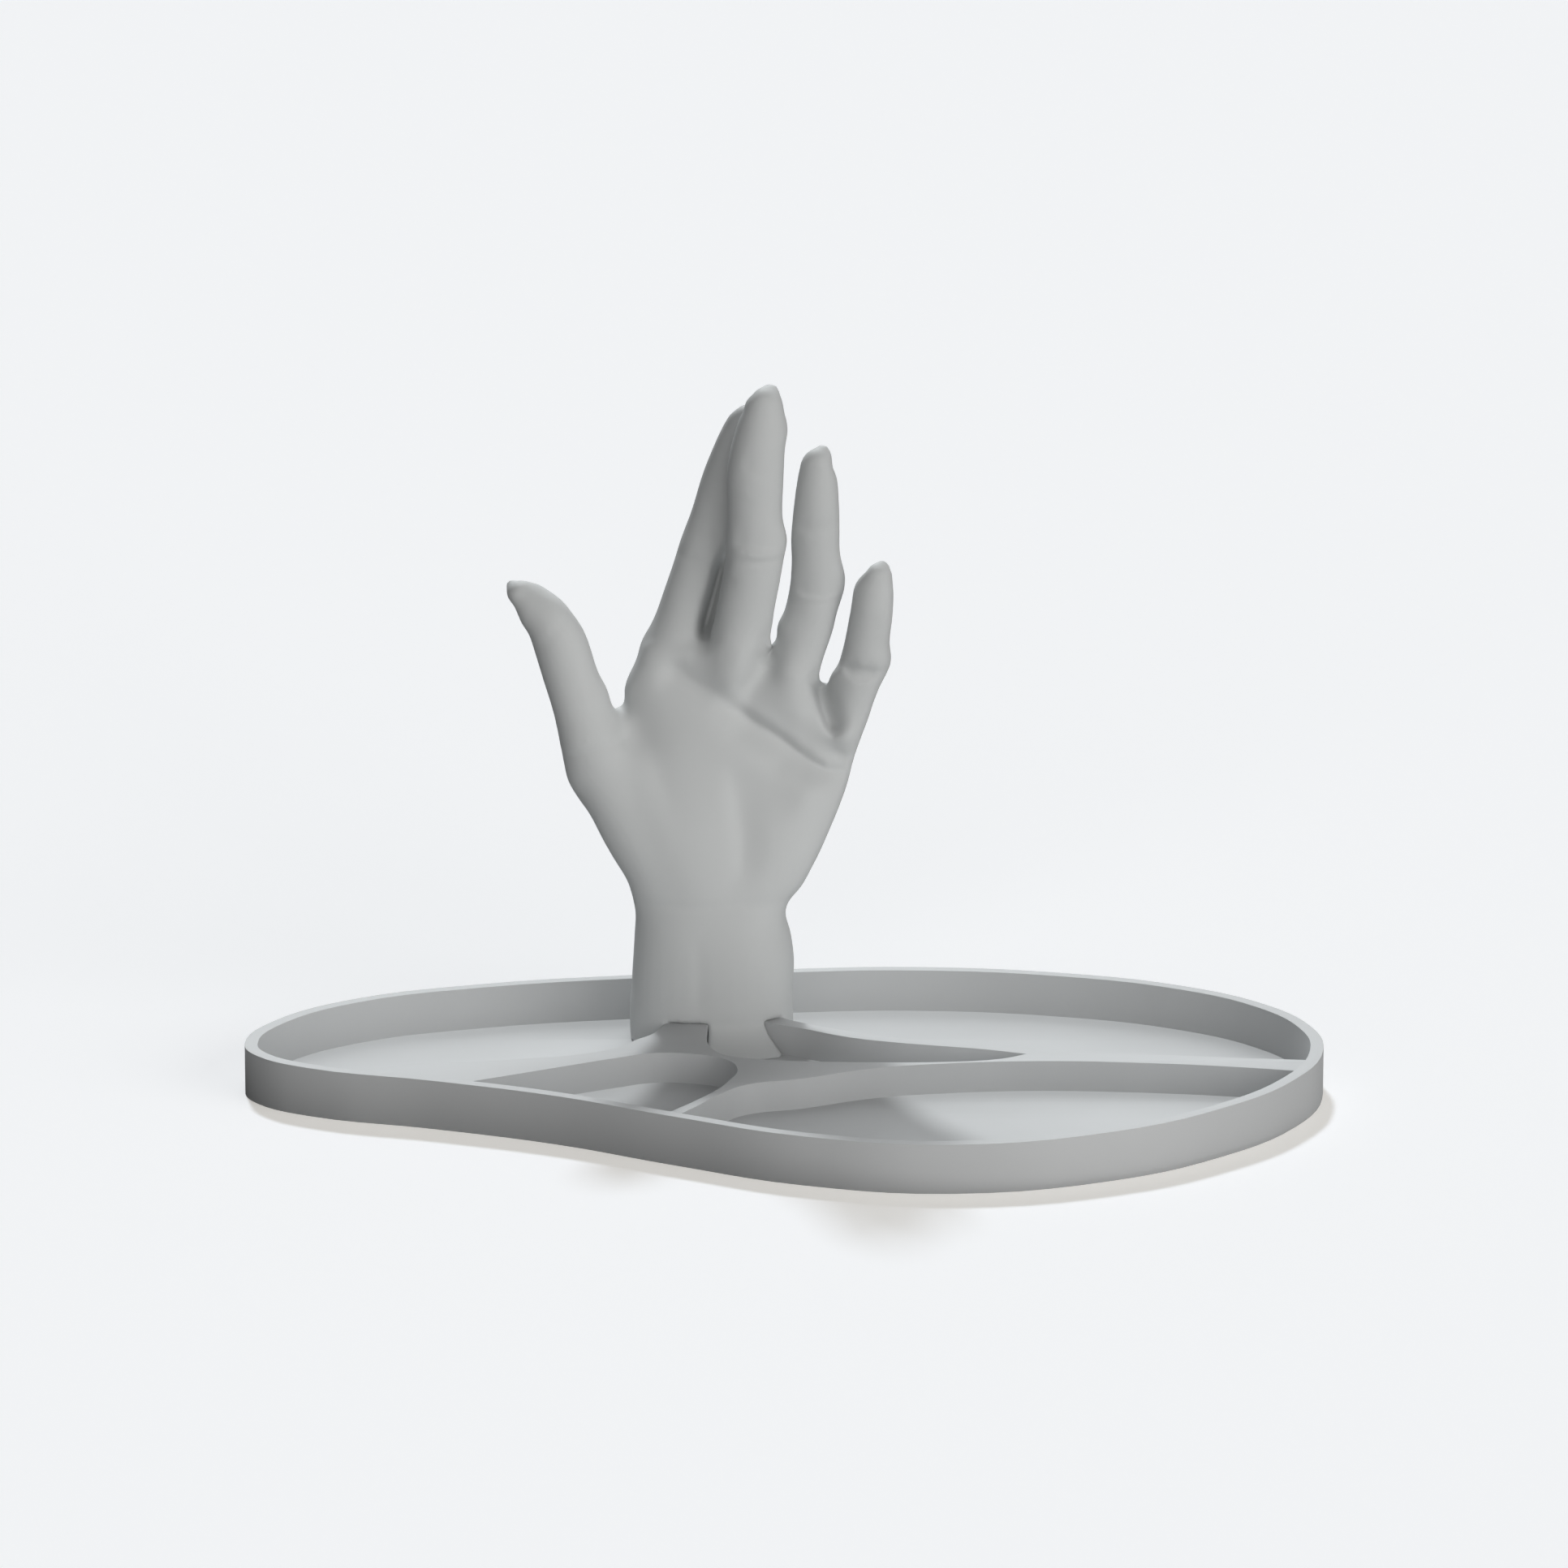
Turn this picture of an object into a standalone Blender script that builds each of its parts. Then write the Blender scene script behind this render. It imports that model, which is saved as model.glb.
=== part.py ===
"""Hand jewelry stand: a pebble-shaped tray with four pockets and a slim upright hand that holds rings.

Units are metres, +Z is up and the tray's underside lies on Z = 0. The tray's length runs along X,
the open palm faces -Y and the thumb points to -X.
"""
import math

import bmesh
import bpy
import numpy as np
from mathutils import Quaternion, Vector

# Tray
TRAY_LENGTH = 0.2426
TRAY_DEPTH = 0.1398
RIM_HEIGHT = 0.0112
RIM_THICKNESS = 0.0029
FLOOR_THICKNESS = 0.0015
DIVIDER_HEIGHT = 0.0085

# Plans are drawn in half lengths and half depths of the tray, from its middle
RIM_PLAN = [
    (-1.000, 0.109), (-0.956, 0.359), (-0.816, 0.614), (-0.577, 0.794), (-0.247, 0.916), (0.000, 0.974),
    (0.247, 0.999), (0.524, 0.931), (0.758, 0.771), (0.907, 0.552), (0.983, 0.302), (0.997, 0.030),
    (0.936, -0.293), (0.800, -0.599), (0.594, -0.860), (0.297, -0.999), (0.035, -0.910), (-0.200, -0.697),
    (-0.412, -0.478), (-0.643, -0.308), (-0.874, -0.167), (-0.973, -0.030),
]
# The three edges of the dividers run from beyond the rim to beyond the rim
FRONT_LEFT_EDGE = [
    (-0.692, -0.300), (-0.547, -0.158), (-0.429, -0.041), (-0.310, 0.076), (-0.243, 0.130), (-0.176, 0.124),
    (-0.111, 0.066), (-0.086, -0.041), (-0.101, -0.177), (-0.140, -0.335), (-0.297, -0.730),
]
FRONT_RIGHT_EDGE = [
    (-0.268, -0.757), (-0.161, -0.464), (-0.120, -0.335), (-0.068, -0.222), (0.033, -0.156), (0.167, -0.040),
    (0.297, 0.013), (0.462, 0.040), (0.660, 0.021), (0.860, -0.034), (1.030, -0.110),
]
REAR_EDGE = [
    (1.040, 0.040), (0.824, 0.082), (0.660, 0.122), (0.544, 0.144), (0.429, 0.192), (0.293, 0.259),
    (0.203, 0.313), (0.110, 0.392), (0.040, 0.470), (-0.041, 0.581), (-0.111, 0.624), (-0.185, 0.574),
    (-0.227, 0.441), (-0.247, 0.345), (-0.275, 0.283), (-0.311, 0.192), (-0.378, 0.117), (-0.490, 0.063),
    (-0.584, 0.029), (-0.694, -0.001), (-0.791, -0.084), (-0.915, -0.200),
]
LEAF_TIP = (0.450, 0.122)
LEAF_PLAN = [
    (0.400, 0.066), (0.273, 0.029), (0.138, 0.029), (0.009, 0.044), (-0.060, 0.070), (-0.105, 0.102),
    (-0.132, 0.172), (-0.143, 0.259), (-0.144, 0.380), (-0.140, 0.470), (-0.110, 0.535), (-0.066, 0.530),
    (-0.024, 0.471), (0.034, 0.412), (0.110, 0.322), (0.178, 0.269), (0.275, 0.219), (0.371, 0.175),
]

# Hand: it stands on the floor of the tray and is cut clear of the dividers
WRIST_PLAN = (-0.137, 0.660)
SEAT_GAP = 0.0003

# Palm sections from the foot of the wrist up: x, y, z, half width, half depth, lean in degrees
PALM_SECTIONS = [
    (0.0002, 0.0000, -0.0060, 0.0184, 0.0146, 0),
    (0.0000, 0.0000, 0.0100, 0.0183, 0.0143, 0),
    (0.0002, 0.0004, 0.0210, 0.0179, 0.0134, 0),
    (-0.0004, 0.0009, 0.0290, 0.0169, 0.0122, 0),
    (0.0011, 0.0012, 0.0350, 0.0182, 0.0117, -2),
    (0.0030, 0.0013, 0.0420, 0.0207, 0.0114, -4),
    (0.0046, 0.0014, 0.0520, 0.0230, 0.0108, -8),
    (0.0060, 0.0016, 0.0630, 0.0254, 0.0098, -13),
    (0.0070, 0.0020, 0.0740, 0.0270, 0.0086, -19),
    (0.0075, 0.0022, 0.0820, 0.0245, 0.0070, -22),
]
PALM_SQUARENESS = 2.5

# Digits: root joint, bone lengths, leans toward +X and curls toward the palm in degrees, half widths,
# depth over width, and how far the nail turns to -X from the back of the hand in degrees
DIGITS = {
    "thumb": {
        "root": (-0.0086, -0.0004, 0.0345),
        "bones": (0.0396, 0.0290, 0.0143),
        "leans": (-27.6, -16.8, -46.0),
        "curls": (4.0, 3.0, -3.0),
        "half_widths": (0.0100, 0.0079, 0.0060, 0.0034),
        "depth_ratio": 0.92,
        "nail_turn": 0.0,
    },
    "index": {
        "root": (-0.0097, 0.0036, 0.0822),
        "bones": (0.0297, 0.0192, 0.0190),
        "leans": (16.0, 16.0, 16.0),
        "curls": (-7.0, 1.0, 9.0),
        "half_widths": (0.0089, 0.0066, 0.0057, 0.0040),
        "depth_ratio": 0.90,
        "nail_turn": -38.0,
    },
    "middle": {
        "root": (0.0047, 0.0002, 0.0822),
        "bones": (0.0322, 0.0203, 0.0196),
        "leans": (9.5, 0.6, 7.2),
        "curls": (8.0, 4.0, 0.0),
        "half_widths": (0.0079, 0.0066, 0.0065, 0.0046),
        "depth_ratio": 0.90,
        "nail_turn": -38.0,
    },
    "ring": {
        "root": (0.0164, 0.0012, 0.0772),
        "bones": (0.0270, 0.0190, 0.0179),
        "leans": (15.5, 0.7, 1.8),
        "curls": (3.0, 12.0, 10.0),
        "half_widths": (0.0067, 0.0061, 0.0054, 0.0041),
        "depth_ratio": 0.90,
        "nail_turn": -38.0,
    },
    "little": {
        "root": (0.0273, 0.0006, 0.0672),
        "bones": (0.0217, 0.0127, 0.0127),
        "leans": (19.5, 8.0, 8.5),
        "curls": (4.0, 12.0, 8.0),
        "half_widths": (0.0060, 0.0056, 0.0050, 0.0036),
        "depth_ratio": 0.90,
        "nail_turn": -38.0,
    },
}
# Bones are slimmer halfway than at their joints, most of all next to the palm; ends are long domes
# with a small flat
SHAFT_WAISTS = (0.91, 0.945, 1.0)
CAP_STRETCH = 1.25
CAP_FLAT = 0.5

# Nails: where they start on the last bone, how far they pass the tip, their section, and how high the
# middle stands on the finger
NAIL_START = 0.55
NAIL_REACH = 0.0008
NAIL_HALF_THICKNESS = 0.0008
NAIL_WIDTH_RATIO = 0.72
NAIL_SEAT_RATIO = 0.62
NAIL_CROWN = 1.05

# Relief of the palm side: lines in x and z, how deep they sink (raised below zero) and how wide they are
PALM_FOLD = [
    (-0.0078, 0.0862), (0.0010, 0.0822), (0.0094, 0.0780), (0.0162, 0.0736), (0.0223, 0.0692),
    (0.0300, 0.0660),
]
RELIEF = [
    (PALM_FOLD, 0.0016, 0.0042),
    (PALM_FOLD[3:], 0.0010, 0.0019),
    ([(-0.0004, 0.1010), (-0.0006, 0.0950), (-0.0010, 0.0915)], 0.0012, 0.0020),
    ([(0.0134, 0.0940), (0.0116, 0.0870), (0.0090, 0.0830)], 0.0015, 0.0026),
    ([(0.0240, 0.0850), (0.0262, 0.0790), (0.0278, 0.0745)], 0.0015, 0.0018),
    ([(0.0040, 0.0900), (0.0020, 0.0872)], -0.0008, 0.0046),
    ([(0.0180, 0.0850), (0.0190, 0.0790)], -0.0014, 0.0042),
    ([(0.0300, 0.0745), (0.0312, 0.0715)], -0.0007, 0.0030),
    ([(0.0068, 0.0640), (0.0066, 0.0360)], 0.0004, 0.0048),
    ([(-0.0100, 0.0660), (-0.0050, 0.0400)], -0.0011, 0.0070),
    ([(-0.0180, 0.0330), (0.0180, 0.0330)], 0.0004, 0.0016),
]
# Joints: how deep and how wide the crease is, and how high and how wide the flesh swells beyond it
MIDDLE_KNUCKLE = (0.0005, 0.0008, 0.0004, 0.0028)
TOP_KNUCKLE = (0.00014, 0.0008, 0.0001, 0.0022)

# Fleshy pads on the palm and the ridge behind the index knuckle: start, end and the radius at each
PADS = {
    "heel": ((0.0125, 0.0000, 0.0450), (0.0210, 0.0000, 0.0610), 0.0090, 0.0078),
    "ball": ((-0.0050, 0.0002, 0.0380), (-0.0170, -0.0002, 0.0620), 0.0101, 0.0086),
    "ridge": ((-0.0040, 0.0030, 0.0560), (-0.0092, 0.0044, 0.0840), 0.0072, 0.0078),
    "web": ((-0.0235, 0.0000, 0.0610), (-0.0180, 0.0010, 0.0722), 0.0070, 0.0050),
}

# Surface quality
CURVE_STEPS = 5
RING_SIDES = 32
STEPS_BETWEEN_SECTIONS = 5
CAP_RINGS = 6
HAND_VOXEL = 0.0006
HAND_SMOOTHING = 8
PALM_SMOOTHING = 110
PALM_SMOOTHED_FROM = (0.022, 0.034)
PALM_SMOOTHED_TO = (0.082, 0.092)
HAND_TRIANGLES = 10000
CUT_MARGIN = 0.005
WELD_DISTANCE = 0.000001


def clear_scene():
    for obj in list(bpy.data.objects):
        bpy.data.objects.remove(obj, do_unlink=True)


def make_collection(name):
    collection = bpy.data.collections.new(name)
    bpy.context.scene.collection.children.link(collection)
    return collection


def make_material(name, colour, roughness):
    material = bpy.data.materials.new(name)
    material.use_nodes = True
    shader = material.node_tree.nodes["Principled BSDF"]
    shader.inputs["Base Color"].default_value = (*colour, 1.0)
    shader.inputs["Roughness"].default_value = roughness
    shader.inputs["Metallic"].default_value = 0.0
    return material


def tray_plastic():
    return make_material("tray_plastic", (0.62, 0.63, 0.64), 0.50)


def hand_plastic():
    return make_material("hand_plastic", (0.56, 0.57, 0.57), 0.55)


def on_tray(place):
    """Turns a place in half lengths and half depths of the tray into metres."""
    return place[0] * TRAY_LENGTH / 2, place[1] * TRAY_DEPTH / 2


def mesh_object(name, mesh, collection):
    obj = bpy.data.objects.new(name, mesh)
    collection.objects.link(obj)
    return obj


def prism(name, outline, corners, bottom, top, collection, grow=0.0):
    """A closed plan outline raised from bottom to top; grow moves its side outward."""
    curve = bpy.data.curves.new(name, "CURVE")
    curve.dimensions = "2D"
    curve.fill_mode = "BOTH"
    curve.resolution_u = CURVE_STEPS
    curve.extrude = (top - bottom) / 2
    curve.offset = grow
    spline = curve.splines.new("BEZIER")
    spline.use_cyclic_u = True
    spline.bezier_points.add(len(outline) - 1)
    for point, place in zip(spline.bezier_points, outline):
        point.co = (*on_tray(place), 0.0)
        handle = "VECTOR" if place in corners else "AUTO"
        point.handle_left_type = handle
        point.handle_right_type = handle
    guide = bpy.data.objects.new(name + "_curve", curve)
    collection.objects.link(guide)
    guide.location.z = (top + bottom) / 2
    bpy.context.view_layer.update()
    mesh = bpy.data.meshes.new_from_object(guide.evaluated_get(bpy.context.evaluated_depsgraph_get()))
    mesh.transform(guide.matrix_world)
    bpy.data.objects.remove(guide, do_unlink=True)
    weld(mesh)
    return mesh_object(name, mesh, collection)


def weld(mesh):
    shape = bmesh.new()
    shape.from_mesh(mesh)
    bmesh.ops.remove_doubles(shape, verts=shape.verts, dist=WELD_DISTANCE)
    bmesh.ops.recalc_face_normals(shape, faces=shape.faces)
    shape.to_mesh(mesh)
    shape.free()


def hide_cutter(obj):
    obj.hide_render = True
    obj.display_type = "WIRE"


def combine(obj, other, operation):
    """Adds a Boolean with the EXACT solver."""
    modifier = obj.modifiers.new(operation.lower() + "_" + other.name, "BOOLEAN")
    modifier.operation = operation
    modifier.solver = "EXACT"
    modifier.object = other


def apply_modifiers(obj):
    """Puts the evaluated shape in place of the object's own mesh."""
    bpy.context.view_layer.update()
    mesh = bpy.data.meshes.new_from_object(obj.evaluated_get(bpy.context.evaluated_depsgraph_get()))
    obj.modifiers.clear()
    obj.data = mesh


def rim_prism(name, bottom, top, inset, collection):
    return prism(name, RIM_PLAN, [], bottom, top, collection, grow=-inset)


def divider_web(name, bottom, top, grow, cutters):
    """The dividers in one piece with the leaf pocket open, trimmed at the middle of the rim's wall."""
    edges = (FRONT_LEFT_EDGE, FRONT_RIGHT_EDGE, REAR_EDGE)
    outline = [place for edge in edges for place in edge]
    corners = [place for edge in edges for place in (edge[0], edge[-1])]
    web = prism(name, outline, corners, bottom, top, cutters, grow)
    leaf = prism(name + "_leaf", [LEAF_TIP] + LEAF_PLAN, [LEAF_TIP], bottom - CUT_MARGIN, top + CUT_MARGIN,
                 cutters, grow=-grow)
    trim = rim_prism(name + "_trim", bottom - CUT_MARGIN, top + CUT_MARGIN, RIM_THICKNESS / 2, cutters)
    combine(web, leaf, "DIFFERENCE")
    combine(web, trim, "INTERSECT")
    for obj in (web, leaf, trim):
        hide_cutter(obj)
    return web


def make_tray(parts, cutters):
    """A slab hollowed inside its rim, with the dividers raised from its floor."""
    tray = rim_prism("tray", 0.0, RIM_HEIGHT, 0.0, parts)
    well = rim_prism("tray_well", FLOOR_THICKNESS, RIM_HEIGHT + CUT_MARGIN, RIM_THICKNESS, cutters)
    hide_cutter(well)
    web = divider_web("tray_dividers", FLOOR_THICKNESS / 2, DIVIDER_HEIGHT, 0.0, cutters)
    combine(tray, well, "DIFFERENCE")
    combine(tray, web, "UNION")
    tray.data.materials.append(tray_plastic())
    return tray


def spline_through(rows, steps):
    """Rows of numbers with smooth in-between rows, by the Catmull-Rom rule."""
    smooth = []
    for i in range(len(rows) - 1):
        before = rows[max(i - 1, 0)]
        after = rows[min(i + 2, len(rows) - 1)]
        for step in range(steps):
            t = step / steps
            smooth.append([
                0.5 * (2 * b + (c - a) * t + (2 * a - 5 * b + 4 * c - d) * t ** 2
                       + (3 * b - a - 3 * c + d) * t ** 3)
                for a, b, c, d in zip(before, rows[i], rows[i + 1], after)
            ])
    smooth.append(list(rows[-1]))
    return smooth


def across(direction, turn=0.0):
    """The directions of a limb's width and of its back, turned about its length."""
    side = Vector((0.0, 1.0, 0.0)).cross(direction).normalized()
    side.rotate(Quaternion(direction, turn))
    return side, direction.cross(side)


def section_ring(shape, centre, direction, half_width, half_depth, squareness=2.0, turn=0.0):
    """A ring of vertices across direction, an ellipse at squareness 2 and boxier above it."""
    side, back = across(direction, turn)
    ring = []
    for step in range(RING_SIDES):
        angle = 2 * math.pi * step / RING_SIDES
        wide = math.copysign(abs(math.cos(angle)) ** (2 / squareness), math.cos(angle))
        deep = math.copysign(abs(math.sin(angle)) ** (2 / squareness), math.sin(angle))
        ring.append(shape.verts.new(centre + side * (half_width * wide) + back * (half_depth * deep)))
    return ring


def loft(shape, rings):
    """Joins rings of vertices into one closed body."""
    for low, high in zip(rings, rings[1:]):
        for i in range(RING_SIDES):
            j = (i + 1) % RING_SIDES
            shape.faces.new((low[i], low[j], high[j], high[i]))
    shape.faces.new(list(reversed(rings[0])))
    shape.faces.new(rings[-1])


def limb(shape, sections, turn=0.0):
    """A rounded limb through sections of centre, half width and half depth, with domed ends."""
    rows = spline_through(sections, STEPS_BETWEEN_SECTIONS)
    centres = [Vector(row[:3]) for row in rows]
    rings = []
    for i, row in enumerate(rows):
        direction = (centres[min(i + 1, len(rows) - 1)] - centres[max(i - 1, 0)]).normalized()
        half_width, half_depth = row[3], row[4]
        if i == 0:
            rings += dome(shape, centres[i], -direction, direction, half_width, half_depth, turn=turn)[::-1]
        rings.append(section_ring(shape, centres[i], direction, half_width, half_depth, turn=turn))
        if i == len(rows) - 1:
            rings += dome(shape, centres[i], direction, direction, half_width, half_depth, turn=turn)
    loft(shape, rings)


def dome(shape, centre, outward, direction, half_width, half_depth, squareness=2.0, turn=0.0):
    """Shrinking rings that close a limb's end."""
    rings = []
    for step in range(1, CAP_RINGS + 1):
        angle = math.pi / 2 * step / (CAP_RINGS + CAP_FLAT)
        reach = outward * (half_depth * CAP_STRETCH * math.sin(angle))
        shrink = math.cos(angle)
        rings.append(section_ring(shape, centre + reach, direction, half_width * shrink, half_depth * shrink,
                                  squareness, turn))
    return rings


def palm(shape):
    """The wrist and palm, whose sections lean with the row of knuckles."""
    rings = []
    for x, y, z, half_width, half_depth, lean in spline_through(PALM_SECTIONS, STEPS_BETWEEN_SECTIONS):
        angle = math.radians(lean)
        direction = Vector((-math.sin(angle), 0.0, math.cos(angle)))
        rings.append(section_ring(shape, Vector((x, y, z)), direction, half_width, half_depth,
                                  PALM_SQUARENESS))
    top = Vector(PALM_SECTIONS[-1][:3])
    rings += dome(shape, top, direction, direction, half_width, half_depth, PALM_SQUARENESS)
    loft(shape, rings)


def digit(shape, root, bones, leans, curls, half_widths, depth_ratio, nail_turn):
    """A thumb or finger with its nail; returns the relief of its two upper joints."""
    joint = Vector(root)
    sections = []
    folds = []
    for i, bone in enumerate(bones):
        lean, curl = math.radians(leans[i]), math.radians(curls[i])
        along = Vector((math.sin(lean) * math.cos(curl), -math.sin(curl), math.cos(lean) * math.cos(curl)))
        last = i == len(bones) - 1
        tip_room = half_widths[-1] * depth_ratio * CAP_STRETCH if last else 0.0
        shaft = (half_widths[i] + half_widths[i + 1]) / 2 * SHAFT_WAISTS[i]
        for place, half_width in ((joint, half_widths[i]), (joint + along * bone / 2, shaft)):
            sections.append((*place, half_width, half_width * depth_ratio))
        if i > 0:
            folds += knuckle(joint, along, half_widths[i], *(MIDDLE_KNUCKLE if i == 1 else TOP_KNUCKLE))
        if last:
            nail(shape, joint, along, bone, half_widths[i], half_widths[i + 1], depth_ratio,
                 math.radians(nail_turn))
        joint = joint + along * (bone - tip_room)
    sections.append((*joint, half_widths[-1], half_widths[-1] * depth_ratio))
    limb(shape, sections)
    return folds


def knuckle(joint, along, half_width, depth, width, swell, swell_width):
    """The crease across a joint and the swelling of the flesh just beyond it."""
    side = across(along)[0] * half_width
    crease = [(end.x, end.z) for end in (joint - side, joint + side)]
    beyond = joint + along * swell_width
    flesh = [(end.x, end.z) for end in (beyond - side / 2, beyond + side / 2)]
    return [(flesh, -swell, swell_width), (crease, depth, width)]


def nail(shape, joint, along, bone, start_half_width, tip_half_width, depth_ratio, turn):
    """An almond nail on the back of the last bone, which ends just past the fingertip."""
    back = across(along, turn)[1]
    start_width = start_half_width * NAIL_WIDTH_RATIO
    tip_width = tip_half_width * NAIL_WIDTH_RATIO
    end = bone + NAIL_REACH - NAIL_HALF_THICKNESS * CAP_STRETCH
    start = joint + along * (bone * NAIL_START) + back * (start_width * depth_ratio)
    middle = joint + along * (bone * (1 + NAIL_START) / 2) + back * (tip_width * depth_ratio * NAIL_CROWN)
    tip = joint + along * end + back * (tip_width * NAIL_SEAT_RATIO)
    limb(shape, [
        (*start, start_width * NAIL_SEAT_RATIO, NAIL_HALF_THICKNESS),
        (*middle, tip_width, NAIL_HALF_THICKNESS),
        (*tip, tip_width * NAIL_SEAT_RATIO, NAIL_HALF_THICKNESS),
    ], turn=turn)


def pad(shape, start, end, start_radius, end_radius):
    limb(shape, [(*start, start_radius, start_radius), (*end, end_radius, end_radius)])


def distance_to_line(places, line):
    """How far each place lies from a line of straight runs, all seen along Y."""
    nearest = np.full(len(places), np.inf)
    for start, end in zip(np.array(line[:-1]), np.array(line[1:])):
        run = end - start
        share = np.clip((places - start) @ run / (run @ run), 0.0, 1.0)
        nearest = np.minimum(nearest, np.linalg.norm(places - start - share[:, None] * run, axis=1))
    return nearest


def press(mesh, line, depth, width):
    """Sinks the palm side of the skin along a line in x and z, or raises it where depth is below zero."""
    count = len(mesh.vertices)
    places = np.empty(count * 3)
    normals = np.empty(count * 3)
    mesh.vertices.foreach_get("co", places)
    mesh.vertices.foreach_get("normal", normals)
    places = places.reshape(count, 3)
    normals = normals.reshape(count, 3)
    facing = np.clip(-normals[:, 1], 0.0, 1.0)
    sink = depth * facing * np.exp(-(distance_to_line(places[:, (0, 2)], line) / width) ** 2)
    mesh.vertices.foreach_set("co", (places - normals * sink[:, None]).ravel())
    mesh.update()


def soften_palm(hand):
    """Melts the pads into the palm between the wrist and the roots of the fingers."""
    group = hand.vertex_groups.new(name="palm")
    for vertex in hand.data.vertices:
        height = vertex.co.z
        rise = (height - PALM_SMOOTHED_FROM[0]) / (PALM_SMOOTHED_FROM[1] - PALM_SMOOTHED_FROM[0])
        fall = (PALM_SMOOTHED_TO[1] - height) / (PALM_SMOOTHED_TO[1] - PALM_SMOOTHED_TO[0])
        weight = min(1.0, rise, fall)
        if weight > 0:
            group.add([vertex.index], weight, "REPLACE")
    soften = hand.modifiers.new("soften_palm", "SMOOTH")
    soften.iterations = PALM_SMOOTHING
    soften.vertex_group = group.name
    apply_modifiers(hand)


def make_hand(parts, cutters):
    """An open left hand, drawn into one skin and cut clear of the tray it stands in."""
    shape = bmesh.new()
    palm(shape)
    folds = []
    for sizes in DIGITS.values():
        folds += digit(shape, **sizes)
    for start, end, start_radius, end_radius in PADS.values():
        pad(shape, start, end, start_radius, end_radius)
    bmesh.ops.recalc_face_normals(shape, faces=shape.faces)
    mesh = bpy.data.meshes.new("hand")
    shape.to_mesh(mesh)
    shape.free()
    hand = mesh_object("hand", mesh, parts)
    floor = FLOOR_THICKNESS + SEAT_GAP
    hand.location = (*on_tray(WRIST_PLAN), floor)

    skin = hand.modifiers.new("skin", "REMESH")
    skin.mode = "VOXEL"
    skin.voxel_size = HAND_VOXEL
    soften = hand.modifiers.new("soften", "SMOOTH")
    soften.iterations = HAND_SMOOTHING
    apply_modifiers(hand)
    soften_palm(hand)
    for line, depth, width in RELIEF + folds:
        press(hand.data, line, depth, width)
    reduce_triangles(hand, HAND_TRIANGLES)
    apply_modifiers(hand)

    below = rim_prism("hand_floor_clearance", -RIM_HEIGHT, floor, 0.0, cutters)
    hide_cutter(below)
    web = divider_web("hand_divider_clearance", 0.0, DIVIDER_HEIGHT + SEAT_GAP, SEAT_GAP, cutters)
    combine(hand, below, "DIFFERENCE")
    combine(hand, web, "DIFFERENCE")
    hand.data.materials.append(hand_plastic())
    return hand


def reduce_triangles(obj, triangles):
    obj.data.calc_loop_triangles()
    fewer = obj.modifiers.new("fewer_faces", "DECIMATE")
    fewer.ratio = min(1.0, triangles / len(obj.data.loop_triangles))


def main():
    clear_scene()
    parts = make_collection("hand_jewelry_stand")
    cutters = make_collection("cutters")
    make_tray(parts, cutters)
    make_hand(parts, cutters)


main()
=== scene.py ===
"""Studio scene of the hand jewelry stand: a matte plastic tray and hand on a pale ground."""
import math

import bpy
import numpy as np
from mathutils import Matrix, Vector


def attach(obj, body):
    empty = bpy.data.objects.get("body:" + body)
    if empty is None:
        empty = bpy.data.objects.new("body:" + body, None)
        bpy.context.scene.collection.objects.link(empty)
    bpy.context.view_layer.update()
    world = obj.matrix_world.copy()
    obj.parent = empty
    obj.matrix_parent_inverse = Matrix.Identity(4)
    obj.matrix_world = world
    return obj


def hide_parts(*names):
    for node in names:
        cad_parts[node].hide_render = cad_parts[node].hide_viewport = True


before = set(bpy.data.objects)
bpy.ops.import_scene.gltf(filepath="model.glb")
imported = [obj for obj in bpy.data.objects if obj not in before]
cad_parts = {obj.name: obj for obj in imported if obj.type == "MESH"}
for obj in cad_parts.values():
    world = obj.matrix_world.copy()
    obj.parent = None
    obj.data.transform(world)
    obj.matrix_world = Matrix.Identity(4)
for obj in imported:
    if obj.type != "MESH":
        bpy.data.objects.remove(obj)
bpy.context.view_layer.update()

# Camera
CAMERA_TARGET = Vector((0.0, -0.0009, 0.0739))
CAMERA_DISTANCE = 2.2
CAMERA_ELEVATION = 15.0
FRAME_WIDTH_AT_TARGET = 0.34874
SENSOR_WIDTH = 36.0
PICTURE_SIZE = 1932
CAMERA_REACH = 20.0

# Lamps: direction toward the lamp, strength, how many degrees wide it looks, its colour, what it lights
# and what throws shadows in it, where that isn't everything
LAMPS = {
    "key": ((-0.21, 0.95, 1.0), 1.9, 6.0, (0.96, 0.99, 1.0), ("tray", "hand_skin"), ("hand_skin",)),
    "ground_key": ((-0.18, 0.94, 1.0), 1.75, 6.0, (0.80, 0.88, 1.0), ("ground",), ("tray", "hand_skin")),
    "top": ((0.0, 0.72, 0.7), 1.5, 55.0, (0.96, 0.99, 1.0), ("tray", "hand_skin"), None),
    "front": ((0.0, -1.0, 0.15), 0.92, 60.0, (1.0, 0.995, 0.98), None, None),
    "right": ((0.75, -0.65, 0.14), 1.5, 55.0, (1.0, 0.995, 0.98), None, None),
}

# World
WORLD_COLOUR = (0.97, 0.985, 1.0)
WORLD_STRENGTH = 0.15

# Ground, which glows a little for the camera only, and the dark oval just under it
GROUND_SIZE = 12.0
GROUND_COLOUR = (0.86, 0.86, 0.86)
GROUND_GLOW = (0.352, 0.338, 0.313)
FLAT_ROUGHNESS = 0.9
UNDERSHADE_COLOUR = (0.02, 0.02, 0.02)
UNDERSHADE_RADII = (0.131, 0.088)
UNDERSHADE_SHIFT = -0.010
UNDERSHADE_DROP = 0.0005
UNDERSHADE_SIDES = 64

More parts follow.
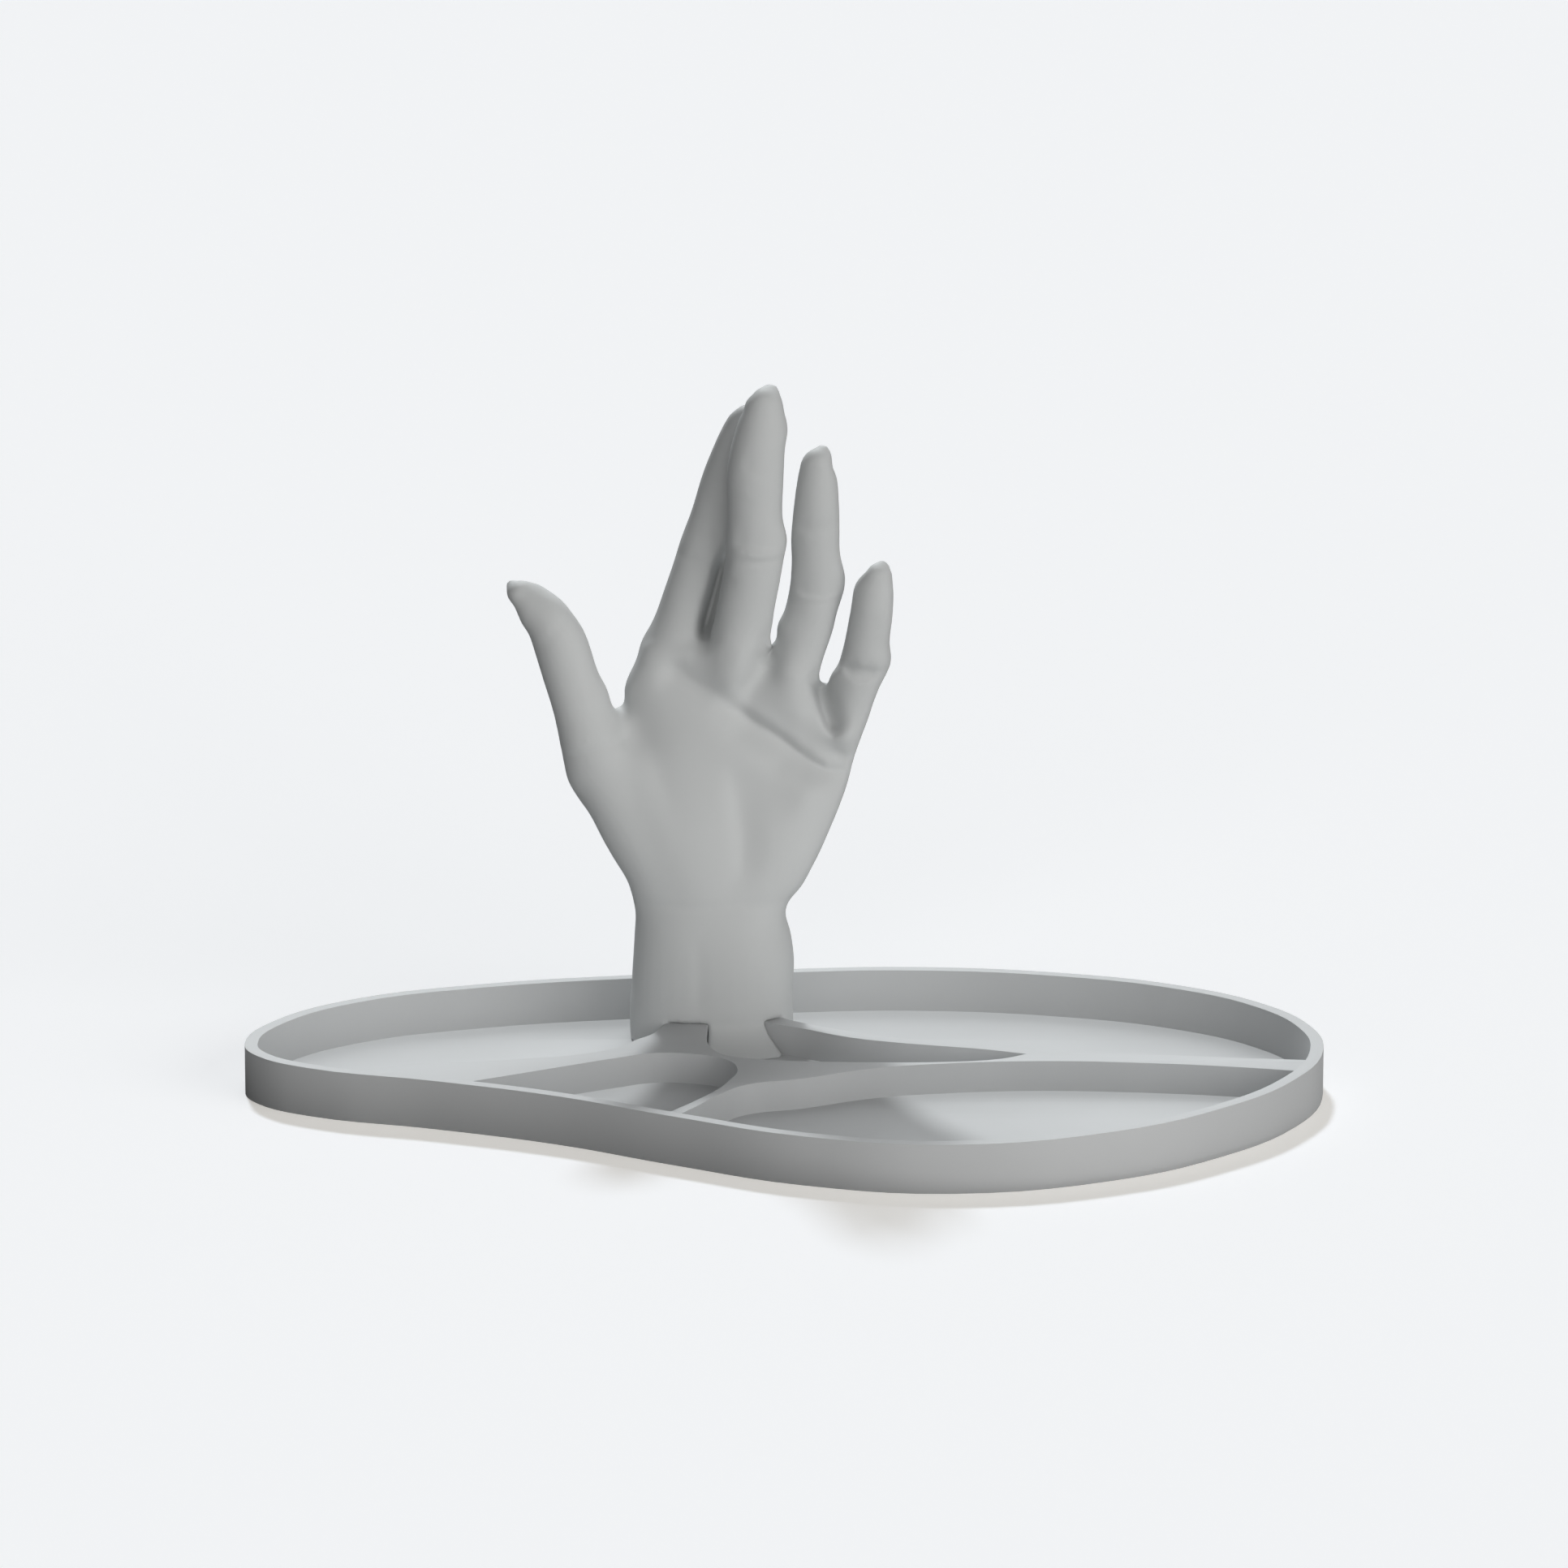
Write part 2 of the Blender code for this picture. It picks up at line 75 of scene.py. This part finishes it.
# Plastics: tone drifts slowly from a darker to a lighter colour, and gloss a little with it
DRIFT_SCALE = 18.0
DRIFT_DETAIL = 3.0
DARK_BELOW = 0.3
LIGHT_ABOVE = 0.7
GRAIN_SCALE = 1400.0
GRAIN_DETAIL = 2.0
GRAIN_STRENGTH = 0.25
GRAIN_HEIGHT = 0.00004
GLOSS_SPREAD = 0.04
SPECULAR = 0.2

# Form of the tray's edges, and how fine and smooth the skin of the hand is
WELD_REACH = 0.00001
TRAY_EDGE = 0.00035
EDGE_SEGMENTS = 3
EDGE_ANGLE = 35.0
SKIN_VOXEL = 0.00054
SKIN_SMOOTHING = 4
PRESSED_SMOOTHING = 4

# Creases of the hand as the camera sees them: a line in picture pixels from left to right or down,
# how deep it sinks in metres (raised below zero), and how wide its upper or right side and its lower or
# left side are in pixels
CREASES = {
    "index_slot": ([(896, 670), (887, 700), (880, 727), (874, 750), (868, 772), (862, 792)], 0.0060, 7, 6),
    "middle_crease": ([(895, 667), (920, 673), (945, 676), (972, 673)], 0.0007, 18, 5),
    "middle_tip_crease": ([(908, 572), (935, 582), (964, 578)], 0.0003, 14, 7),
    "ring_crease": ([(971, 719), (995, 731), (1015, 733), (1042, 723)], 0.0008, 18, 5),
    "ring_tip_crease": ([(980, 646), (1000, 656), (1032, 652)], 0.0003, 14, 7),
    "little_crease": ([(1034, 814), (1050, 830), (1062, 834), (1088, 833)], 0.0010, 14, 5),
    "little_tip_crease": ([(1043, 766), (1060, 775), (1092, 772)], 0.0003, 12, 7),
    "index_crease": ([(838, 650), (868, 662), (893, 656)], 0.0002, 16, 9),
    "little_fold": ([(1003, 836), (1007, 850), (1013, 872), (1020, 890), (1032, 912)], 0.0030, 17, 5),
    "little_web": ([(998, 845), (1014, 847)], 0.0005, 3, 3),
    "ring_web": ([(950, 797), (942, 806), (934, 818)], 0.0016, 7, 7),
    "ring_web_tail": ([(940, 800), (930, 832), (918, 864), (908, 896)], 0.0009, 17, 17),
    "palm_fold": ([(880, 858), (905, 876), (920, 886), (940, 898), (960, 911), (980, 927), (1000, 941),
                   (1015, 949), (1044, 953), (1066, 954)], 0.0027, 9, 26),
    "palm_fold_tail": ([(816, 812), (850, 838), (880, 856), (920, 882)], 0.0007, 12, 26),
    "lower_fold": ([(912, 885), (930, 908), (950, 935), (975, 955)], 0.0004, 12, 14),
    "palm_line": ([(902, 930), (912, 1000), (917, 1040), (915, 1100)], 0.0009, 26, 13),
    "wrist_line": ([(858, 1150), (864, 1262)], 0.0002, 12, 9),
}

# Pixels at either side of a line over which its two widths blend, and the share of it that fades at each end
SIDE_BLEND = 4.0
END_FADE = 0.25

# Round dents of the hand as the camera sees them (bumps below zero): picture pixels, radius in pixels,
# depth in metres
DENTS = {
    "knuckle": ((872, 802), 15, -0.0010),
    "palm_hollow": ((952, 975), 38, 0.0012),
}

# Places of the palm that are evened out before its creases are pressed: picture pixels, and the radii in
# pixels at which the evening starts to fade and ends
EVEN_PLACES = {
    "palm": ((952, 912), 55, 85),
    "little_root": ((1027, 876), 16, 38),
    "slot_foot": ((880, 818), 16, 36),
}
EVEN_STEPS = 160
EVEN_LEAST = 0.01

# Places where the outline swells (sinks below zero): picture pixels, radius in pixels, height in metres
SWELLS = {
    "thumb_end": ((632, 752), 20, -0.0010),
    "thumb_nail": ((662, 720), 17, 0.0010),
    "thumb_back": ((706, 754), 22, -0.0006),
    "thumb_side": ((746, 850), 20, 0.0006),
    "thumb_outside": ((682, 898), 38, -0.0010),
    "ball_corner": ((702, 965), 22, 0.0010),
    "ball_side": ((740, 1025), 34, 0.0005),
    "ball_foot": ((772, 1088), 26, -0.0009),
    "web_side": ((774, 848), 22, 0.0011),
    "web": ((762, 878), 9, 0.0008),
    "index_root": ((790, 788), 20, 0.0007),
    "index_side": ((828, 690), 30, -0.0003),
    "index_end": ((906, 503), 11, -0.0006),
    "middle_end": ((926, 485), 11, -0.0007),
    "middle_tip": ((969, 528), 18, 0.0007),
    "middle_joint": ((952, 665), 18, 0.0014),
    "middle_web": ((951, 797), 7, 0.0010),
    "ring_root": ((968, 772), 13, 0.0009),
    "ring_nail": ((1028, 573), 11, -0.0008),
    "ring_joint": ((1038, 704), 20, 0.0008),
    "ring_side": ((1031, 755), 18, -0.0004),
    "ring_web": ((1018, 849), 12, 0.0013),
    "little_web": ((1030, 834), 12, 0.0010),
    "little_nail": ((1064, 701), 9, -0.0006),
    "little_tip": ((1048, 722), 16, 0.0005),
    "little_joint": ((1098, 816), 22, 0.0008),
    "little_root": ((1072, 885), 28, 0.0005),
    "heel_foot": ((984, 1090), 20, 0.0006),
    "wrist_top": ((971, 1140), 20, 0.0006),
    "wrist_side": ((977, 1185), 34, 0.0007),
}

# How squarely the skin faces the camera (1 is straight at it) where creases start to press it and where
# they, and the evening, act fully
TURNED_AWAY = -0.35
FULLY_FACING = 0.25

# Foot of the hand: how far it closes on the tray and how high that reaches; the flare in the leaf pocket,
# its height and curve, and in plan its left end and the line that it stays in front of
WRIST_AXIS = (-0.0166, 0.0461)
FOOT_SWELL = 0.00036
FOOT_TOP = (0.0100, 0.0140)
FLARE_REACH = 0.0070
FLARE_BETWEEN = (0.0015, 0.0085)
FLARE_CURVE = 1.5
FLARE_LEFT = -0.0180
FLARE_BACK = ((-0.0133, 0.0384), (0.0041, 0.0298))


def shader_nodes(name):
    """A new material, its nodes, their links and its Principled shader."""
    material = bpy.data.materials.new(name)
    material.use_nodes = True
    nodes = material.node_tree.nodes
    return material, nodes, material.node_tree.links, nodes["Principled BSDF"]


def plastic(name, dark, light, roughness):
    """Matte plastic with a slow drift of tone, a fine grain and a slightly uneven gloss."""
    material, nodes, links, shader = shader_nodes(name)
    place = nodes.new("ShaderNodeTexCoord")
    drift = nodes.new("ShaderNodeTexNoise")
    drift.inputs["Scale"].default_value = DRIFT_SCALE
    drift.inputs["Detail"].default_value = DRIFT_DETAIL
    tone = nodes.new("ShaderNodeValToRGB")
    tone.color_ramp.elements[0].position = DARK_BELOW
    tone.color_ramp.elements[0].color = (*dark, 1.0)
    tone.color_ramp.elements[1].position = LIGHT_ABOVE
    tone.color_ramp.elements[1].color = (*light, 1.0)
    grain = nodes.new("ShaderNodeTexNoise")
    grain.inputs["Scale"].default_value = GRAIN_SCALE
    grain.inputs["Detail"].default_value = GRAIN_DETAIL
    bump = nodes.new("ShaderNodeBump")
    bump.inputs["Strength"].default_value = GRAIN_STRENGTH
    bump.inputs["Distance"].default_value = GRAIN_HEIGHT
    gloss = nodes.new("ShaderNodeMapRange")
    gloss.inputs["To Min"].default_value = roughness - GLOSS_SPREAD
    gloss.inputs["To Max"].default_value = roughness + GLOSS_SPREAD
    shader.inputs["Specular IOR Level"].default_value = SPECULAR
    links.new(place.outputs["Object"], drift.inputs["Vector"])
    links.new(place.outputs["Object"], grain.inputs["Vector"])
    links.new(drift.outputs["Fac"], tone.inputs["Fac"])
    links.new(tone.outputs["Color"], shader.inputs["Base Color"])
    links.new(grain.outputs["Fac"], bump.inputs["Height"])
    links.new(bump.outputs["Normal"], shader.inputs["Normal"])
    links.new(drift.outputs["Fac"], gloss.inputs["Value"])
    links.new(gloss.outputs["Result"], shader.inputs["Roughness"])
    return material


def tray_plastic():
    return plastic("tray_plastic", (0.49, 0.498, 0.503), (0.53, 0.538, 0.543), roughness=0.65)


def hand_plastic():
    return plastic("hand_plastic", (0.50, 0.51, 0.51), (0.54, 0.55, 0.55), roughness=0.60)


def paint(obj, material):
    obj.data.materials.clear()
    obj.data.materials.append(material)


def dress_tray(node):
    """The moulded tray, its edges slightly rounded."""
    weld = node.modifiers.new("weld", "WELD")
    weld.merge_threshold = WELD_REACH
    edges = node.modifiers.new("rounded_edges", "BEVEL")
    edges.width = TRAY_EDGE
    edges.segments = EDGE_SEGMENTS
    edges.limit_method = "ANGLE"
    edges.angle_limit = math.radians(EDGE_ANGLE)
    edges.harden_normals = False
    paint(node, tray_plastic())
    node.data.shade_smooth()


def fine_copy(node, name):
    """A new piece with the node's form as one fine even skin."""
    skin = bpy.data.objects.new(name, node.data.copy())
    bpy.context.scene.collection.objects.link(skin)
    weld = skin.modifiers.new("weld", "WELD")
    weld.merge_threshold = WELD_REACH
    remesh = skin.modifiers.new("remesh", "REMESH")
    remesh.mode = "VOXEL"
    remesh.voxel_size = SKIN_VOXEL
    remesh.use_smooth_shade = True
    soften(skin, SKIN_SMOOTHING)
    return skin


def soften(skin, rounds, group=""):
    """Smooths the skin, all over or as far as a vertex group says."""
    smooth = skin.modifiers.new("soften", "SMOOTH")
    smooth.iterations = rounds
    smooth.vertex_group = group
    apply_modifiers(skin)


def apply_modifiers(obj):
    bpy.context.view_layer.update()
    mesh = bpy.data.meshes.new_from_object(obj.evaluated_get(bpy.context.evaluated_depsgraph_get()))
    obj.modifiers.clear()
    obj.data = mesh


def points_of(mesh):
    points = np.empty(len(mesh.vertices) * 3)
    mesh.vertices.foreach_get("co", points)
    return points.reshape(-1, 3)


def normals_of(mesh):
    normals = np.empty(len(mesh.vertices) * 3)
    mesh.vertices.foreach_get("normal", normals)
    return normals.reshape(-1, 3)


def set_points(mesh, points):
    mesh.vertices.foreach_set("co", points.ravel())
    mesh.update()


def ramp(values, start, end):
    """0 at start and 1 at end, eased at both."""
    share = np.clip((values - start) / (end - start), 0.0, 1.0)
    return share * share * (3.0 - 2.0 * share)


def toward_camera():
    tilt = math.radians(CAMERA_ELEVATION)
    return np.array((0.0, -math.cos(tilt), math.sin(tilt)))


def picture_places(points):
    """Where points fall in the picture, in pixels right and down from its corner."""
    tilt = math.radians(CAMERA_ELEVATION)
    offset = points - np.array(CAMERA_TARGET)
    depth = CAMERA_DISTANCE - offset @ toward_camera()
    up = offset[:, 1] * math.sin(tilt) + offset[:, 2] * math.cos(tilt)
    scale = PICTURE_SIZE / FRAME_WIDTH_AT_TARGET * CAMERA_DISTANCE / depth
    return np.stack((PICTURE_SIZE / 2 + offset[:, 0] * scale, PICTURE_SIZE / 2 - up * scale), axis=1)


def distance_and_side(places, line):
    """Distance to a line of points, how far a place is to its lower or left side, and how far along."""
    nearest = np.full(len(places), np.inf)
    side = np.zeros(len(places))
    travel = np.zeros(len(places))
    for step, (start, end) in enumerate(zip(line, line[1:])):
        start = np.array(start, float)
        along = np.array(end, float) - start
        share = np.clip((places - start) @ along / (along @ along), 0.0, 1.0)
        offset = places - start - share[:, None] * along
        distance = np.hypot(offset[:, 0], offset[:, 1])
        closer = distance < nearest
        nearest[closer] = distance[closer]
        across = along[0] * (places[closer] - start)[:, 1] - along[1] * (places[closer] - start)[:, 0]
        side[closer] = across / np.hypot(*along)
        travel[closer] = (step + share[closer]) / (len(line) - 1)
    return nearest, side, travel


def even_palm(skin):
    """Smooths the named places of the palm, on the side that faces the camera."""
    places = picture_places(points_of(skin.data))
    near = np.zeros(len(places))
    for centre, full, end in EVEN_PLACES.values():
        near = np.maximum(near, 1.0 - ramp(np.hypot(*(places - centre).T), full, end))
    weights = near * ramp(normals_of(skin.data) @ toward_camera(), 0.0, FULLY_FACING)
    group = skin.vertex_groups.new(name="even")
    for index in np.flatnonzero(weights > EVEN_LEAST):
        group.add([int(index)], float(weights[index]), "REPLACE")
    soften(skin, EVEN_STEPS, group.name)


def press_creases(mesh):
    """Sinks each dent and each crease, fading at its ends, into the skin that faces the camera."""
    points = points_of(mesh)
    places = picture_places(points)
    facing = ramp(normals_of(mesh) @ toward_camera(), TURNED_AWAY, FULLY_FACING)
    sink = np.zeros(len(points))
    for line, depth, upper_width, lower_width in CREASES.values():
        distance, side, travel = distance_and_side(places, line)
        width = upper_width + (lower_width - upper_width) * ramp(side, -SIDE_BLEND, SIDE_BLEND)
        fade = ramp(0.5 - np.abs(travel - 0.5), 0.0, END_FADE)
        sink += depth * fade * np.exp(-(distance / width) ** 2)
    for centre, radius, depth in DENTS.values():
        sink += depth * np.exp(-np.sum((places - centre) ** 2, axis=1) / radius ** 2)
    set_points(mesh, points - toward_camera() * (sink * facing)[:, None])


def swell_outline(mesh):
    """Grows or shrinks the skin at each named place, most of all where it is seen edge-on."""
    points = points_of(mesh)
    places = picture_places(points)
    rise = np.zeros(len(points))
    for centre, radius, height in SWELLS.values():
        distance = np.hypot(*(places - centre).T)
        rise += height * np.exp(-(distance / radius) ** 2)
    normals = normals_of(mesh)
    edge_on = 1.0 - np.abs(normals @ toward_camera())
    set_points(mesh, points + normals * (rise * edge_on)[:, None])


def settle_foot(mesh):
    """Closes the foot on the tray and flares it onto the floor of the leaf pocket."""
    points = points_of(mesh)
    low = 1.0 - ramp(points[:, 2], *FOOT_TOP)
    points = points + normals_of(mesh) * (FOOT_SWELL * low)[:, None]
    out = points[:, :2] - np.array(WRIST_AXIS)
    (left, left_back), (right, right_back) = FLARE_BACK
    back = left_back + (points[:, 0] - left) * (right_back - left_back) / (right - left)
    in_pocket = (points[:, 0] > FLARE_LEFT) & (points[:, 1] < back)
    height = np.clip((points[:, 2] - FLARE_BETWEEN[0]) / (FLARE_BETWEEN[1] - FLARE_BETWEEN[0]), 0.0, 1.0)
    flare = FLARE_REACH * (1.0 - height) ** FLARE_CURVE * in_pocket
    points[:, :2] += out / np.hypot(out[:, 0], out[:, 1])[:, None] * flare[:, None]
    set_points(mesh, points)


def hand_skin(node):
    """The hand as it is seen: a fine skin over the solid's form."""
    skin = fine_copy(node, "hand_skin")
    even_palm(skin)
    swell_outline(skin.data)
    press_creases(skin.data)
    soften(skin, PRESSED_SMOOTHING)
    settle_foot(skin.data)
    paint(skin, hand_plastic())
    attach(skin, "root")
    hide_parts("hand")


def make_flat(shader, colour):
    """Gives a shader one colour and no gloss."""
    shader.inputs["Base Color"].default_value = (*colour, 1.0)
    shader.inputs["Roughness"].default_value = FLAT_ROUGHNESS
    shader.inputs["Specular IOR Level"].default_value = 0.0


def ground_surface():
    """A matt pale surface that glows a little, for the camera only."""
    material, nodes, links, shader = shader_nodes("ground")
    make_flat(shader, GROUND_COLOUR)
    ray = nodes.new("ShaderNodeLightPath")
    shader.inputs["Emission Color"].default_value = (*GROUND_GLOW, 1.0)
    links.new(ray.outputs["Is Camera Ray"], shader.inputs["Emission Strength"])
    return material


def undershade_surface():
    material, _, _, shader = shader_nodes("undershade")
    make_flat(shader, UNDERSHADE_COLOUR)
    return material


def ground():
    """A pale even ground that shows the object's shadow and throws no light back at it."""
    bpy.ops.mesh.primitive_plane_add(size=GROUND_SIZE)
    plane = bpy.context.object
    plane.name = "ground"
    plane.visible_diffuse = False
    plane.visible_glossy = False
    plane.visible_shadow = False
    paint(plane, ground_surface())


def undershade():
    """A dark oval under the tray, unseen itself, that deepens the shade at its foot."""
    bpy.ops.mesh.primitive_circle_add(vertices=UNDERSHADE_SIDES, radius=1.0, fill_type="NGON",
                                      location=(UNDERSHADE_SHIFT, 0.0, -UNDERSHADE_DROP))
    plane = bpy.context.object
    plane.name = "undershade"
    plane.scale = (*UNDERSHADE_RADII, 1.0)
    plane.visible_camera = False
    paint(plane, undershade_surface())


def listing(name, members):
    """A collection of named objects for a lamp to light or be shaded by."""
    collection = bpy.data.collections.new(name)
    for member in members:
        collection.objects.link(bpy.data.objects[member])
    return collection


def lamps():
    for name, (direction, strength, width, colour, lit, shading) in LAMPS.items():
        lamp = bpy.data.lights.new(name, "SUN")
        lamp.energy = strength
        lamp.angle = math.radians(width)
        lamp.color = colour
        obj = bpy.data.objects.new(name, lamp)
        obj.rotation_euler = Vector(direction).to_track_quat("Z", "Y").to_euler()
        bpy.context.scene.collection.objects.link(obj)
        if lit:
            obj.light_linking.receiver_collection = listing(name + "_lit", lit)
        if shading:
            obj.light_linking.blocker_collection = listing(name + "_shading", shading)


def sky():
    world = bpy.data.worlds.new("studio")
    world.use_nodes = True
    background = world.node_tree.nodes["Background"]
    background.inputs["Color"].default_value = (*WORLD_COLOUR, 1.0)
    background.inputs["Strength"].default_value = WORLD_STRENGTH
    bpy.context.scene.world = world


def camera():
    data = bpy.data.cameras.new("camera")
    data.sensor_width = SENSOR_WIDTH
    data.lens = SENSOR_WIDTH * CAMERA_DISTANCE / FRAME_WIDTH_AT_TARGET
    data.clip_end = CAMERA_REACH
    obj = bpy.data.objects.new("camera", data)
    obj.location = CAMERA_TARGET + Vector(toward_camera()) * CAMERA_DISTANCE
    obj.rotation_euler = (math.pi / 2 - math.radians(CAMERA_ELEVATION), 0.0, 0.0)
    bpy.context.scene.collection.objects.link(obj)
    bpy.context.scene.camera = obj


dress_tray(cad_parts["tray"])
hand_skin(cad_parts["hand"])
ground()
undershade()
lamps()
sky()
camera()
bpy.context.scene.view_settings.view_transform = "Standard"
bpy.context.view_layer.update()
